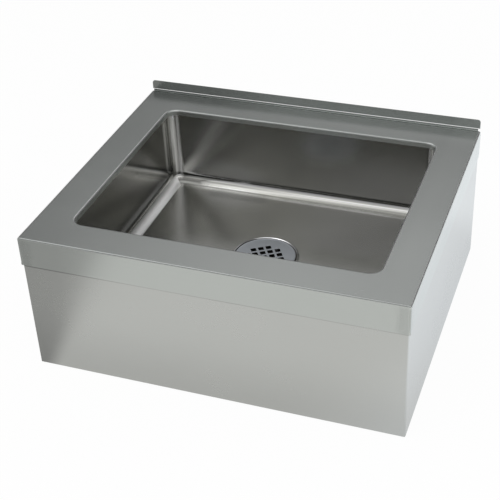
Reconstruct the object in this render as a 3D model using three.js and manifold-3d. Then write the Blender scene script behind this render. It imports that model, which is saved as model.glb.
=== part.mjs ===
// A floor-standing stainless mop service sink.
//
// A folded deck with a turned-down lip carries a coved bowl with a pitched floor. A wrapped skirt, a back
// panel and four corner posts take the load to the floor. The drain has a raised rim, a lift-out strainer
// with square holes and a lugged locknut under the bowl.
//
// Millimetres. +Z is up, +X is to the right seen from the front, and +Y points to the wall.
// The origin is on the floor, in the middle of the plan.

import * as THREE from 'three';
import { mergeVertices } from 'three/addons/utils/BufferGeometryUtils.js';
import Module from 'manifold-3d';

const wasm = await Module();
wasm.setup();

// ---------------------------------------------------------------- driving dimensions

// Whole sink
const width = 635; // 25 in across the deck flanges
const depth = 538; // front flange to the back of the upturn
const deckHeight = 254; // 10 in to the top of the deck

// Sheet and clearances
const deckSheet = 1.5; // 16 gauge
const bowlSheet = 1.5; // 16 gauge
const skirtSheet = 1.2; // 18 gauge
const lapGap = 0.3; // between sheets that lap or sit side by side

// Deck
const flangeDrop = 52; // deck top to the lower edge of the flange
const deckBend = 3; // outside radius of the folded deck edges
const deckCorner = 1.6; // welded and ground vertical flange corners
const upturnRise = 21; // upturn above the deck
const upturnBend = 1.5; // inside radius at the foot of the upturn
const upturnInset = 1.5; // upturn end to the face of the side flange
const upturnCorner = 5; // rounded top corners of the upturn
const reliefDrop = 8.5; // bend relief down the rear end of each side flange
const reliefDepth = 3; // bend relief into each end of the upturn's foot

// Opening and lip
const sideMargin = 63.5; // side flange to opening, 2 1/2 in, which leaves an opening 20 in wide
const frontMargin = 63.5; // front flange to opening
const rearMargin = 68.1; // opening to the back of the upturn, which leaves it 16 in deep
const openingCorner = 20;
const lipDrop = 10; // deck top to the lower edge of the lip
const lipBend = 3; // outside radius where the deck turns down into the lip

// Bowl
const bowlDepth = 152.4; // deck top to the floor beside the drain, 6 in
const coveRadius = 19; // 3/4 in cove round the floor
const floorPitch = 2.4; // fall of the floor from the coves to the drain
const bowlRimWidth = 12; // rim that is spot-welded under the deck
const bowlRimBend = 3; // inside radius between bowl wall and rim
const seatDrop = 2; // dished seat below the floor round it
const seatRadius = 58.5; // the flange with a small gap round it
const seatSlope = 1.5; // run of the step down into the seat

// Skirt and back panel
const skirtLap = 38; // skirt that reaches up behind the flange
const skirtCorner = 3; // outside radius of the skirt's vertical corners
const skirtFold = 1.5; // outside radius of the folded hem and returns
const hemWidth = 16; // hem turned in along the floor
const backInset = 1.5; // back of the upturn to the back panel
const returnWidth = 16; // returns folded forward round the back panel

// Corner posts
const postLeg = 30;
const postSheet = 2;
const postBend = 4; // outside radius of the folded angle

// Bowl supports
const supportSpacing = 280; // centre to centre
const supportWidth = 40;
const supportHeight = 25;
const supportSheet = 1.5;
const supportBend = 3;

// Sound pads on the end walls of the bowl
const padLength = 260;
const padHeight = 90;
const padThickness = 3;
const padCorner = 8;
const padDrop = 70; // deck top to the pad's middle

// Drain
const flangeDiameter = 115; // 4 1/2 in rim
const rimWidth = 1.9; // raised rim round the strainer
const rimRise = 1.9; // rim above the strainer's ledge
const ledgeSheet = 1.5; // flange under the strainer
const barrelDiameter = 88.9; // 3 1/2 in locknut thread
const barrelWall = 4;
const barrelLength = 31; // below the flange
const outletDiameter = 60.3; // 2 in pipe thread
const outletWall = 4.2;
const outletTaper = 9; // height of the taper between barrel and outlet
const outletLength = 28;
const drainHoleGap = 1.5; // round the barrel, in the bowl floor
const threadGap = 0.3; // round the barrel, in what is pushed or screwed over it
const sealThickness = 1;
const washerThickness = 3;
const washerWidth = 10;
const frictionThickness = 1;
const locknutHeight = 13;
const locknutWall = 8;
const lugCount = 8;
const lugReach = 6;
const lugShare = 0.45; // share of the pitch that a lug takes

// Strainer
const strainerGap = 2; // round the plate, inside the rim
const strainerSheet = 1.2;
const strainerSeatGap = 0.3; // between plate and ledge
const holePitch = 13.5;
const holeSide = 9.5; // 3/8 in square holes
const holeReach = 2; // rows each way from the middle, without the four corner holes
const holeTurn = THREE.MathUtils.degToRad(32);
const holeShift = -3; // the punched field lies a little in front of the plate's middle
const legWidth = 6;
const legLength = 15;
const legSheet = 0.8;
const legTab = 4.5; // tab welded under the plate
const legSpread = 2; // outward bow of the leg
const legGap = 0.6; // leg to barrel wall
const legCount = 4;

// Smoothness
const bendSteps = 4;
const coveSteps = 6;
const cornerSteps = 6;
const sideSteps = 6;
const roundSegments = 64;
const leastCorner = 0.5; // corner radius that an inward offset leaves at least

// ---------------------------------------------------------------- places worked out from them

const overshoot = 2; // how far a cutting solid runs past what it cuts
const deckUnderside = deckHeight - deckSheet;
const frontFace = -depth / 2;
const backFace = depth / 2;
const upturnFoot = backFace - deckSheet - upturnBend;
const openingWidth = width - 2 * sideMargin;
const openingDepth = depth - frontMargin - rearMargin;
const openingFront = frontFace + frontMargin;
const bowlMiddle = openingFront + openingDepth / 2;
const floorZ = deckHeight - bowlDepth;
const floorEdge = floorZ + floorPitch;
const seatZ = floorZ - seatDrop;
const seatUnderside = seatZ - bowlSheet;
const wallOffset = deckSheet + lapGap; // lip face to the bowl's inner wall
const skirtHalf = width / 2 - deckSheet - lapGap;
const skirtFront = frontFace + deckSheet + lapGap;
const skirtTop = deckHeight - flangeDrop + skirtLap;
const skirtInner = skirtHalf - skirtSheet;
const panelBack = backFace - backInset;
const panelFront = panelBack - skirtSheet;
const panelHalf = skirtInner - lapGap;
const flangeUnderside = seatZ + sealThickness;
const ledgeZ = flangeUnderside + ledgeSheet;
const rimRadius = flangeDiameter / 2;
const rimInner = rimRadius - rimWidth;
const barrelRadius = barrelDiameter / 2;
const barrelBore = barrelRadius - barrelWall;
const barrelFoot = flangeUnderside - barrelLength;
const outletRadius = outletDiameter / 2;
const outletBore = outletRadius - outletWall;
const outletTop = barrelFoot - outletTaper;
const outletEnd = outletTop - outletLength;
const drainHole = barrelRadius + drainHoleGap;
const strainerUnderside = ledgeZ + strainerSeatGap;

// ---------------------------------------------------------------- solids

function solidFrom(geometry) {
  const bare = geometry.clone();
  bare.deleteAttribute('normal');
  bare.deleteAttribute('uv');
  const merged = mergeVertices(bare, 1e-4);
  const mesh = new wasm.Mesh({
    numProp: 3,
    vertProperties: new Float32Array(merged.attributes.position.array),
    triVerts: new Uint32Array(merged.index.array),
  });
  return new wasm.Manifold(mesh);
}

function geometryFrom(solid) {
  const mesh = solid.getMesh();
  const geometry = new THREE.BufferGeometry();
  geometry.setAttribute('position', new THREE.BufferAttribute(mesh.vertProperties, 3));
  geometry.setIndex(new THREE.BufferAttribute(mesh.triVerts, 1));
  geometry.computeVertexNormals();
  return geometry;
}

function extrude(shape, length, curveSegments = bendSteps) {
  return new THREE.ExtrudeGeometry(shape, { depth: length, bevelEnabled: false, curveSegments });
}

// A shape drawn in (y, z), run along X.
function alongX(shape, from, to) {
  const turn = new THREE.Matrix4().makeBasis(
    new THREE.Vector3(0, 1, 0),
    new THREE.Vector3(0, 0, 1),
    new THREE.Vector3(1, 0, 0),
  );
  return solidFrom(extrude(shape, to - from).applyMatrix4(turn).translate(from, 0, 0));
}

// A shape drawn in (x, z), run along Y.
function alongY(shape, from, to) {
  return solidFrom(extrude(shape, to - from).rotateX(Math.PI / 2).translate(0, to, 0));
}

// A shape drawn in (x, y), run along Z.
function alongZ(shape, from, to, curveSegments = bendSteps) {
  return solidFrom(extrude(shape, to - from, curveSegments).translate(0, 0, from));
}

function box(x0, x1, y0, y1, z0, z1) {
  const geometry = new THREE.BoxGeometry(x1 - x0, y1 - y0, z1 - z0);
  return solidFrom(geometry.translate((x0 + x1) / 2, (y0 + y1) / 2, (z0 + z1) / 2));
}

// A closed (radius, z) profile turned round the drain's axis.
function revolve(profile) {
  const points = profile.map(([r, z]) => new THREE.Vector2(r, z));
  const geometry = new THREE.LatheGeometry([...points, points[0]], roundSegments);
  return solidFrom(geometry.rotateX(Math.PI / 2).translate(0, bowlMiddle, 0));
}

function disc(radius, z0, z1) {
  return revolve([[0, z0], [radius, z0], [radius, z1], [0, z1]]);
}

function ring(inner, outer, z0, z1) {
  return revolve([[inner, z0], [outer, z0], [outer, z1], [inner, z1]]);
}

// Points of a quarter circle round (x, y), both ends included.
function quarter(x, y, radius, startAngle, steps = bendSteps) {
  return Array.from({ length: steps + 1 }, (_, i) => {
    const angle = startAngle + (i / steps) * (Math.PI / 2);
    return [x + radius * Math.cos(angle), y + radius * Math.sin(angle)];
  });
}

function shapeThrough(points) {
  return new THREE.Shape(points.map(([x, y]) => new THREE.Vector2(x, y)));
}

// A rectangle in the plane with its own radius at each corner; 0 leaves the corner square.
function cornered(x0, x1, y0, y1, { lowLeft = 0, lowRight = 0, highRight = 0, highLeft = 0 } = {}) {
  const rounded = (x, y, radius, startAngle) => (radius > 0 ? quarter(x, y, radius, startAngle) : [[x, y]]);
  return shapeThrough([
    ...rounded(x0 + lowLeft, y0 + lowLeft, lowLeft, Math.PI),
    ...rounded(x1 - lowRight, y0 + lowRight, lowRight, 1.5 * Math.PI),
    ...rounded(x1 - highRight, y1 - highRight, highRight, 0),
    ...rounded(x0 + highLeft, y1 - highLeft, highLeft, 0.5 * Math.PI),
  ]);
}

// Points between two given ones, in equal steps, both ends left out.
function between([fromX, fromY], [toX, toY], steps) {
  return Array.from({ length: steps - 1 }, (_, i) => {
    const share = (i + 1) / steps;
    return [fromX + (toX - fromX) * share, fromY + (toY - fromY) * share];
  });
}

// One section of a bowl or opening: a rounded rectangle round (0, bowlMiddle), grown by offset.
function openingSection(offset, z) {
  const radius = Math.max(openingCorner + offset, leastCorner);
  const cx = openingWidth / 2 + offset - radius;
  const cy = openingDepth / 2 + offset - radius;
  const arcs = [[cx, cy], [-cx, cy], [-cx, -cy], [cx, -cy]]
    .map(([x, y], i) => quarter(x, y, radius, i * (Math.PI / 2), cornerSteps));
  const outline = arcs.flatMap((arc, i) => {
    const next = arcs[(i + 1) % arcs.length];
    return [...arc, ...between(arc[cornerSteps], next[0], sideSteps)];
  });
  return outline.map(([x, y]) => new THREE.Vector3(x, y + bowlMiddle, z));
}

// A circle round the drain whose points face those of the given section.
function drainSection(section, radius, z) {
  return section.map((point) => {
    const angle = Math.atan2(point.y - bowlMiddle, point.x);
    return new THREE.Vector3(radius * Math.cos(angle), bowlMiddle + radius * Math.sin(angle), z);
  });
}

// A solid skinned over sections of equal point count, lowest first, closed by a fan at each end.
function loft(sections) {
  const count = sections[0].length;
  const first = new THREE.Vector3(0, bowlMiddle, sections[0][0].z);
  const last = new THREE.Vector3(0, bowlMiddle, sections[sections.length - 1][0].z);
  const points = [...sections.flat(), first, last];
  const firstIndex = points.length - 2;
  const lastIndex = points.length - 1;
  const top = (sections.length - 1) * count;
  const index = [];
  for (let i = 0; i < count; i += 1) {
    const j = (i + 1) % count;
    index.push(firstIndex, j, i, lastIndex, top + i, top + j);
    for (let s = 0; s < top; s += count) {
      index.push(s + i, s + j, s + count + j, s + i, s + count + j, s + count + i);
    }
  }
  const geometry = new THREE.BufferGeometry().setFromPoints(points);
  geometry.setIndex(index);
  return solidFrom(geometry);
}

// A sheet folded down on chosen sides, its flat plate on top at z = 0. The cut is the hollow inside.
function foldedTray({ x0, x1, y0, y1, drop, sheet, bend, corner, front, rear, left, right }) {
  const volume = (inset, open, z0, z1) => {
    const fold = Math.max(bend - inset, 0);
    const upright = Math.max(corner - inset, 0);
    const a = left ? x0 + inset : x0 - open;
    const b = right ? x1 - inset : x1 + open;
    const c = front ? y0 + inset : y0 - open;
    const d = rear ? y1 - inset : y1 + open;
    const across = cornered(a, b, z0, z1, { highLeft: left ? fold : 0, highRight: right ? fold : 0 });
    const along = cornered(c, d, z0, z1, { highLeft: front ? fold : 0, highRight: rear ? fold : 0 });
    const plan = cornered(a, b, c, d, {
      lowLeft: left && front ? upright : 0,
      lowRight: right && front ? upright : 0,
      highRight: right && rear ? upright : 0,
      highLeft: left && rear ? upright : 0,
    });
    return alongY(across, c, d).intersect(alongX(along, a, b)).intersect(alongZ(plan, z0, z1));
  };
  const outside = volume(0, 0, -drop, 0);
  const hollow = volume(sheet, overshoot, -drop - overshoot, -sheet);
  return outside.subtract(hollow);
}

function mirroredX(solid) {
  return solid.mirror([1, 0, 0]);
}

// ---------------------------------------------------------------- deck

// A sheet bent up along the rear edge, trimmed to the outline that it has seen from the front.
function upturn() {
  const foot = upturnFoot;
  const bendZ = deckHeight + upturnBend;
  const half = width / 2 - upturnInset;
  const sheet = new THREE.Shape();
  sheet.moveTo(foot - overshoot, deckUnderside);
  sheet.lineTo(foot, deckUnderside);
  sheet.absarc(foot, bendZ, upturnBend + deckSheet, -Math.PI / 2, 0);
  sheet.lineTo(backFace, deckHeight + upturnRise);
  sheet.lineTo(backFace - deckSheet, deckHeight + upturnRise);
  sheet.lineTo(backFace - deckSheet, bendZ);
  sheet.absarc(foot, bendZ, upturnBend, 0, -Math.PI / 2, true);
  sheet.lineTo(foot - overshoot, deckHeight);
  sheet.closePath();

  const face = new THREE.Shape();
  const waist = half - reliefDepth;
  const top = deckHeight + upturnRise;
  face.moveTo(-waist, deckUnderside - overshoot);
  face.lineTo(waist, deckUnderside - overshoot);
  face.lineTo(waist, bendZ);
  face.absarc(half, bendZ, reliefDepth, Math.PI, Math.PI / 2, true);
  face.lineTo(half, top - upturnCorner);
  face.absarc(half - upturnCorner, top - upturnCorner, upturnCorner, 0, Math.PI / 2);
  face.lineTo(-half + upturnCorner, top);
  face.absarc(-half + upturnCorner, top - upturnCorner, upturnCorner, Math.PI / 2, Math.PI);
  face.lineTo(-half, bendZ + reliefDepth);
  face.absarc(-half, bendZ, reliefDepth, Math.PI / 2, 0, true);
  face.closePath();
  return alongX(sheet, -half, half).intersect(alongY(face, foot - 2 * overshoot, backFace + overshoot));
}

// The lip as a full block, its top buried in the deck plate; the opening is cut through both.
function lipBlock() {
  const profile = [
    [deckSheet, deckHeight - lipDrop],
    ...quarter(lipBend, deckHeight - lipBend, lipBend - deckSheet, Math.PI / 2).reverse(),
    [lipBend + deckSheet, deckHeight - deckSheet / 2],
  ];
  return loft(profile.map(([offset, z]) => openingSection(offset, z)));
}

function openingVoid() {
  const profile = [
    [0, deckHeight - lipDrop - overshoot],
    ...quarter(lipBend, deckHeight - lipBend, lipBend, Math.PI / 2).reverse(),
    [lipBend, deckHeight + overshoot],
  ];
  return loft(profile.map(([offset, z]) => openingSection(offset, z)));
}

function deckTop() {
  const tray = foldedTray({
    x0: -width / 2,
    x1: width / 2,
    y0: frontFace,
    y1: backFace,
    drop: flangeDrop,
    sheet: deckSheet,
    bend: deckBend,
    corner: deckCorner,
    front: true,
    left: true,
    right: true,
  }).translate([0, 0, deckHeight]);
  const reliefZ = deckHeight - reliefDrop;
  const reach = width / 2 + overshoot;
  const rearCut = box(-reach, reach, upturnFoot, backFace + overshoot, reliefZ, deckHeight + overshoot);
  return tray.subtract(rearCut).add(upturn()).add(lipBlock()).subtract(openingVoid());
}

// ---------------------------------------------------------------- bowl

// Sections of one face of the bowl, from the seat up; skin is 0 inside and the sheet outside.
function bowlFace(skin) {
  const cove = coveRadius + skin;
  const centreOffset = wallOffset - coveRadius;
  const centreZ = floorEdge + coveRadius;
  const coveSections = quarter(centreOffset, centreZ, cove, -Math.PI / 2, coveSteps)
    .map(([offset, z]) => openingSection(offset, z));
  const brim = bowlRimBend - skin;
  const brimSections = quarter(wallOffset + bowlRimBend, deckUnderside - bowlRimBend, brim, Math.PI / 2)
    .reverse()
    .map(([offset, z]) => openingSection(offset, z));
  const facing = coveSections[0];
  return [
    drainSection(facing, seatRadius, seatZ - skin),
    drainSection(facing, seatRadius + seatSlope, floorZ - skin),
    ...coveSections,
    ...brimSections,
  ];
}

function bowl() {
  const inner = bowlFace(0);
  const mouth = openingSection(wallOffset + bowlRimBend, deckHeight);
  const outer = bowlFace(bowlSheet);
  const rim = wallOffset + bowlRimWidth;
  const rimSections = [
    openingSection(rim, deckUnderside - bowlSheet),
    openingSection(rim, deckUnderside),
  ];
  const hole = disc(drainHole, seatUnderside - overshoot, seatZ + overshoot);
  return loft([...outer, ...rimSections]).subtract(loft([...inner, mouth])).subtract(hole);
}

// ---------------------------------------------------------------- skirt and back

// The skirt is drawn as a tray upside down: its plate is the hem on the floor.
function skirt() {
  const wrap = foldedTray({
    x0: -skirtHalf,
    x1: skirtHalf,
    y0: skirtFront,
    y1: panelBack,
    drop: skirtTop,
    sheet: skirtSheet,
    bend: skirtFold,
    corner: skirtCorner,
    front: true,
    left: true,
    right: true,
  }).mirror([0, 0, 1]);
  const inside = skirtHalf - hemWidth;
  const hemEdge = skirtFront + hemWidth;
  const cut = box(-inside, inside, hemEdge, panelBack + overshoot, -overshoot, skirtSheet + overshoot);
  return wrap.subtract(cut);
}

// The back panel is a shallow tray stood on edge, open to the front, its lower return clear of the hem.
function backPanel() {
  const tray = foldedTray({
    x0: -panelHalf,
    x1: panelHalf,
    y0: 0,
    y1: deckUnderside,
    drop: returnWidth,
    sheet: skirtSheet,
    bend: skirtFold,
    corner: skirtFold,
    front: true,
    rear: true,
    left: true,
    right: true,
  }).rotate([90, 0, 0]).mirror([0, 1, 0]).translate([0, panelBack, 0]);
  const hemTop = skirtSheet + lapGap;
  const hemInside = skirtHalf - hemWidth - lapGap;
  const reach = panelHalf + overshoot;
  const returnEdge = panelBack - returnWidth - overshoot;
  const notch = (from, to) => box(from, to, returnEdge, panelBack + overshoot, -overshoot, hemTop);
  return tray.subtract(notch(-reach, -hemInside)).subtract(notch(hemInside, reach));
}

// ---------------------------------------------------------------- corner posts

// A folded angle with its outer corner at the origin, its legs along +X and +Y.
function angle(height) {
  const inner = postBend - postSheet;
  const section = new THREE.Shape();
  section.moveTo(postBend, 0);
  section.lineTo(postLeg, 0);
  section.lineTo(postLeg, postSheet);
  section.lineTo(postBend, postSheet);
  section.absarc(postBend, postBend, inner, 1.5 * Math.PI, Math.PI, true);
  section.lineTo(postSheet, postLeg);
  section.lineTo(0, postLeg);
  section.lineTo(0, postBend);
  section.absarc(postBend, postBend, postBend, Math.PI, 1.5 * Math.PI);
  return alongZ(section, 0, height);
}

function frontPost() {
  const height = deckUnderside - skirtSheet;
  return angle(height).translate([-(skirtInner - lapGap), skirtFront + skirtSheet + lapGap, skirtSheet]);
}

// The rear posts stand inside the back panel's returns and under its top one.
function rearPost() {
  const height = deckUnderside - 2 * skirtSheet;
  const x = -(panelHalf - skirtSheet - lapGap);
  return angle(height).mirror([0, 1, 0]).translate([x, panelFront - lapGap, skirtSheet]);
}

// ---------------------------------------------------------------- bowl supports and sound pads

// A channel, web up, under the bowl floor, which is lowest at the channel's edge next to the drain.
function bowlSupport() {
  const middle = -supportSpacing / 2;
  const seatEdge = seatRadius + seatSlope;
  const floorRun = openingWidth / 2 + wallOffset - coveRadius - seatEdge;
  const edgeRun = Math.max(supportSpacing / 2 - supportWidth / 2 - seatEdge, 0);
  const top = floorZ + floorPitch * (edgeRun / floorRun) - bowlSheet - lapGap;
  const x0 = middle - supportWidth / 2;
  const x1 = middle + supportWidth / 2;
  const foot = top - supportHeight;
  const outside = cornered(x0, x1, foot, top, { highLeft: supportBend, highRight: supportBend });
  const fold = Math.max(supportBend - supportSheet, 0);
  const inside = cornered(
    x0 + supportSheet,
    x1 - supportSheet,
    foot - overshoot,
    top - supportSheet,
    { highLeft: fold, highRight: fold },
  );
  const front = skirtFront + skirtSheet + lapGap;
  const rear = panelFront - lapGap;
  return alongY(outside, front, rear)
    .subtract(alongY(inside, front + supportSheet, rear - supportSheet));
}

function soundPad() {
  const face = -(openingWidth / 2 + wallOffset + bowlSheet + lapGap);
  const outline = cornered(
    bowlMiddle - padLength / 2,
    bowlMiddle + padLength / 2,
    deckHeight - padDrop - padHeight / 2,
    deckHeight - padDrop + padHeight / 2,
    { lowLeft: padCorner, lowRight: padCorner, highRight: padCorner, highLeft: padCorner },
  );
  return alongX(outline, face - padThickness, face);
}

// ---------------------------------------------------------------- drain

function drainBody() {
  const rimTop = ledgeZ + rimRise;
  const rimFoot = seatZ + lapGap;
  const crown = rimWidth / 2;
  const profile = [
    [outletBore, outletEnd],
    [outletRadius, outletEnd],
    [outletRadius, outletTop],
    [barrelRadius, barrelFoot],
    [barrelRadius, flangeUnderside],
    [rimInner, flangeUnderside],
    [rimInner, rimFoot],
    [rimRadius, rimFoot],
    ...quarter(rimRadius - crown, rimTop - crown, crown, 0),
    ...quarter(rimRadius - crown, rimTop - crown, crown, Math.PI / 2).slice(1),
    [rimInner, ledgeZ],
    [barrelBore, ledgeZ],
    [barrelBore, barrelFoot],
    [outletBore, outletTop],
  ];
  return revolve(profile);
}

function drainLocknut(top) {
  const inner = barrelRadius + threadGap;
  const root = inner + locknutWall;
  const tip = root + lugReach;
  const pitch = (2 * Math.PI) / lugCount;
  const outline = new THREE.Shape();
  for (let i = 0; i < lugCount; i += 1) {
    const start = i * pitch;
    const lug = start + pitch * lugShare;
    outline.absarc(0, 0, tip, start, lug);
    outline.absarc(0, 0, root, lug, start + pitch);
  }
  outline.closePath();
  const foot = top - locknutHeight;
  const nut = alongZ(outline, foot, top, 2 * bendSteps).translate([0, bowlMiddle, 0]);
  return nut.subtract(disc(inner, foot - overshoot, top + overshoot));
}

// ---------------------------------------------------------------- strainer

function strainerPlate() {
  const radius = rimInner - strainerGap;
  const plate = new THREE.Shape();
  plate.absarc(0, 0, radius, 0, 2 * Math.PI);
  for (let i = -holeReach; i <= holeReach; i += 1) {
    for (let j = -holeReach; j <= holeReach; j += 1) {
      const isCorner = Math.abs(i) === holeReach && Math.abs(j) === holeReach;
      if (!isCorner) plate.holes.push(squareHole(i * holePitch, j * holePitch));
    }
  }
  const top = strainerUnderside + strainerSheet;
  return alongZ(plate, strainerUnderside, top, roundSegments).translate([0, bowlMiddle, 0]);
}

function squareHole(u, v) {
  const half = holeSide / 2;
  const corners = [[-half, -half], [-half, half], [half, half], [half, -half]];
  const hole = new THREE.Path();
  hole.setFromPoints(corners.map(([x, y]) => {
    const point = new THREE.Vector2(u + x, v + y).rotateAround(new THREE.Vector2(), holeTurn);
    return point.add(new THREE.Vector2(0, holeShift));
  }));
  hole.closePath();
  return hole;
}

// One leg in (radius, z): a tab welded under the plate, folded down and bowed out towards the barrel.
// The bow's control points lie twice as far out as its belly does.
function strainerLeg(i) {
  const top = strainerUnderside - lapGap;
  const middle = top - legLength / 2;
  const foot = top - legLength;
  const outer = barrelBore - legGap - legSpread;
  const inner = outer - legSheet;
  const tabEnd = outer - legTab;
  const side = new THREE.Shape();
  side.moveTo(tabEnd, top);
  side.lineTo(outer, top);
  side.quadraticCurveTo(outer + 2 * legSpread, middle, outer, foot);
  side.lineTo(inner, foot);
  side.quadraticCurveTo(inner + 2 * legSpread, middle, inner, top - legSheet);
  side.lineTo(tabEnd, top - legSheet);
  side.closePath();
  const turn = holeTurn + Math.PI / legCount + (i * 2 * Math.PI) / legCount;
  return alongY(side, -legWidth / 2, legWidth / 2)
    .rotate([0, 0, THREE.MathUtils.radToDeg(turn)])
    .translate([0, bowlMiddle, 0]);
}

// ---------------------------------------------------------------- materials and assembly

const finishes = {
  satin: { color: 0x9a9d9b, roughness: 0.38, metalness: 1 },
  bowlSatin: { color: 0x8c8d88, roughness: 0.3, metalness: 1 },
  inner: { color: 0x8e908f, roughness: 0.5, metalness: 1 },
  plated: { color: 0xc9ccd0, roughness: 0.15, metalness: 1 },
  strainer: { color: 0x9ba2a8, roughness: 0.45, metalness: 1 },
  brass: { color: 0xb08d4c, roughness: 0.35, metalness: 1 },
  rubber: { color: 0x1c1c1d, roughness: 0.8, metalness: 0 },
  fibre: { color: 0x9b7b5a, roughness: 0.9, metalness: 0 },
  mastic: { color: 0x5d5f60, roughness: 0.85, metalness: 0 },
};

const sink = new THREE.Group();

function place(name, solid, finish) {
  const mesh = new THREE.Mesh(geometryFrom(solid), new THREE.MeshStandardMaterial(finishes[finish]));
  mesh.name = name;
  sink.add(mesh);
}

place('deck_top', deckTop(), 'satin');
place('bowl', bowl(), 'bowlSatin');
place('skirt', skirt(), 'satin');
place('back_panel', backPanel(), 'inner');

place('corner_post_front_left', frontPost(), 'inner');
place('corner_post_front_right', mirroredX(frontPost()), 'inner');
place('corner_post_rear_left', rearPost(), 'inner');
place('corner_post_rear_right', mirroredX(rearPost()), 'inner');
place('bowl_support_left', bowlSupport(), 'inner');
place('bowl_support_right', mirroredX(bowlSupport()), 'inner');
place('sound_pad_left', soundPad(), 'mastic');
place('sound_pad_right', mirroredX(soundPad()), 'mastic');

const washerInner = barrelRadius + threadGap;
const washerOuter = washerInner + washerWidth;
const washerFoot = seatUnderside - washerThickness;
const frictionFoot = washerFoot - frictionThickness;
place('drain_body', drainBody(), 'plated');
place('flange_seal', ring(washerInner, rimInner - lapGap, seatZ, flangeUnderside), 'rubber');
place('under_washer', ring(washerInner, washerOuter, washerFoot, seatUnderside), 'rubber');
place('friction_ring', ring(washerInner, washerOuter, frictionFoot, washerFoot), 'fibre');
place('drain_locknut', drainLocknut(frictionFoot), 'brass');

place('strainer_plate', strainerPlate(), 'strainer');
for (let i = 0; i < legCount; i += 1) {
  place(`strainer_leg_${i + 1}`, strainerLeg(i), 'plated');
}

export default sink;
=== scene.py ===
"""A floor-standing stainless mop sink in a pale studio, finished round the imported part.

Metres, in the part's own frame: +Z is up, +X is to the right seen from the front, +Y points to the wall.
"""

import math

import bmesh
import bpy
from mathutils import Matrix, Vector


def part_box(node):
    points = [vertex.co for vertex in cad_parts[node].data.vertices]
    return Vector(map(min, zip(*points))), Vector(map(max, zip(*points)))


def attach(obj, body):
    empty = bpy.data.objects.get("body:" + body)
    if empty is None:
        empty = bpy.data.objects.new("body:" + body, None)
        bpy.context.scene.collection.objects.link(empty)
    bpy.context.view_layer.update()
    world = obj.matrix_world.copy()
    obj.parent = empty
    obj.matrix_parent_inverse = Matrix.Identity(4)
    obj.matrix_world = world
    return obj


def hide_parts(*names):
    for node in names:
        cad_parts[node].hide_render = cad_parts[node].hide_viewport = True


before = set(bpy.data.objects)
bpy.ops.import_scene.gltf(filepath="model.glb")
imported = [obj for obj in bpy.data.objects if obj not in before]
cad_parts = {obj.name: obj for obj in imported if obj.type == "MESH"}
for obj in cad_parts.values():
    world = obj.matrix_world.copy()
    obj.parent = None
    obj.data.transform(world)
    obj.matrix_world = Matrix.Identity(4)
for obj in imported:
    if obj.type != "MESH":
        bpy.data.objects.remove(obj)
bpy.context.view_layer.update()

MM = 0.001
NEAR = 1e-5

# ---------------------------------------------------------------- sizes that the frame gives

deck_low, deck_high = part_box("deck_top")
skirt_low, skirt_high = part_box("skirt")
bowl_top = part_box("bowl")[1].z
drain_low, drain_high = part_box("drain_body")
plate_low, plate_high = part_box("strainer_plate")
drain_y = (drain_low.y + drain_high.y) / 2
drain_axis = Vector((0, drain_y, 0))

# ---------------------------------------------------------------- sizes of the sheet metal

deck_thickness = 1.5 * MM
deck_fold = 3 * MM
deck_corner = 1.6 * MM
flange_drop = 52 * MM
upturn_rise = 21 * MM
upturn_fold = 1.5 * MM
upturn_inset = 1.5 * MM
upturn_corner = 5 * MM
relief = 3 * MM
relief_drop = 8.5 * MM
opening_half = Vector((254 * MM, 203.2 * MM))
opening_corner = 20 * MM
lip_drop = 10 * MM
flat_margin = 5 * MM
hem_curl = 0.2 * MM
hem_curl_height = 5 * MM
deck_edge = 0.25 * MM

bowl_thickness = 1.5 * MM
bowl_gap = 1.8 * MM
cove = 19 * MM
floor_edge = 104 * MM
floor_middle = 101.6 * MM
seat_radius = 58.5 * MM
seat_step = 1.5 * MM
seat_drop = 2 * MM
drain_hole = 45.95 * MM
rim_width = 12 * MM
rim_fold = 3 * MM

skirt_thickness = 1.2 * MM
skirt_corner = 3 * MM
skirt_fold = 1.5 * MM
hem_width = 16 * MM
skirt_edge = 0.2 * MM

deck_top_z = deck_high.z - upturn_rise
upturn_foot = deck_high.y - deck_thickness - upturn_fold

# ---------------------------------------------------------------- modelling by hand


def bare():
    """Leaves nothing selected."""
    bpy.ops.object.select_all(action="DESELECT")


def settle(piece, name):
    """Names a new primitive and puts its place into its mesh."""
    piece.name = name
    bpy.ops.object.transform_apply(location=True, rotation=True, scale=True)
    return piece


def plate(name, x0, x1, y0, y1, z):
    """A level plate."""
    bare()
    bpy.ops.mesh.primitive_plane_add(size=1, location=((x0 + x1) / 2, (y0 + y1) / 2, z))
    bpy.context.object.scale = (x1 - x0, y1 - y0, 1)
    return settle(bpy.context.object, name)


def upright_plate(name, x0, x1, y, z0, z1):
    """A plate that looks to the front."""
    bare()
    bpy.ops.mesh.primitive_plane_add(
        size=1, location=((x0 + x1) / 2, y, (z0 + z1) / 2), rotation=(math.pi / 2, 0, 0),
    )
    bpy.context.object.scale = (x1 - x0, z1 - z0, 1)
    return settle(bpy.context.object, name)


def block(name, low, high):
    """A block between two corners."""
    bare()
    bpy.ops.mesh.primitive_cube_add(size=1, location=(Vector(low) + Vector(high)) / 2)
    bpy.context.object.scale = Vector(high) - Vector(low)
    return settle(bpy.context.object, name)


def start_edit(piece):
    """Opens one piece's mesh for editing."""
    bare()
    piece.select_set(True)
    bpy.context.view_layer.objects.active = piece
    bpy.ops.object.mode_set(mode="EDIT")


def end_edit():
    bpy.ops.object.mode_set(mode="OBJECT")
    return bpy.context.object


def pick(kind, test):
    """Selects what passes the test, in the mesh that is being edited."""
    bpy.ops.mesh.select_mode(type=kind)
    bpy.ops.mesh.select_all(action="DESELECT")
    mesh = bmesh.from_edit_mesh(bpy.context.object.data)
    for item in {"VERT": mesh.verts, "EDGE": mesh.edges, "FACE": mesh.faces}[kind]:
        if test(item):
            item.select_set(True)
    mesh.select_flush_mode()
    bmesh.update_edit_mesh(bpy.context.object.data)


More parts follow.
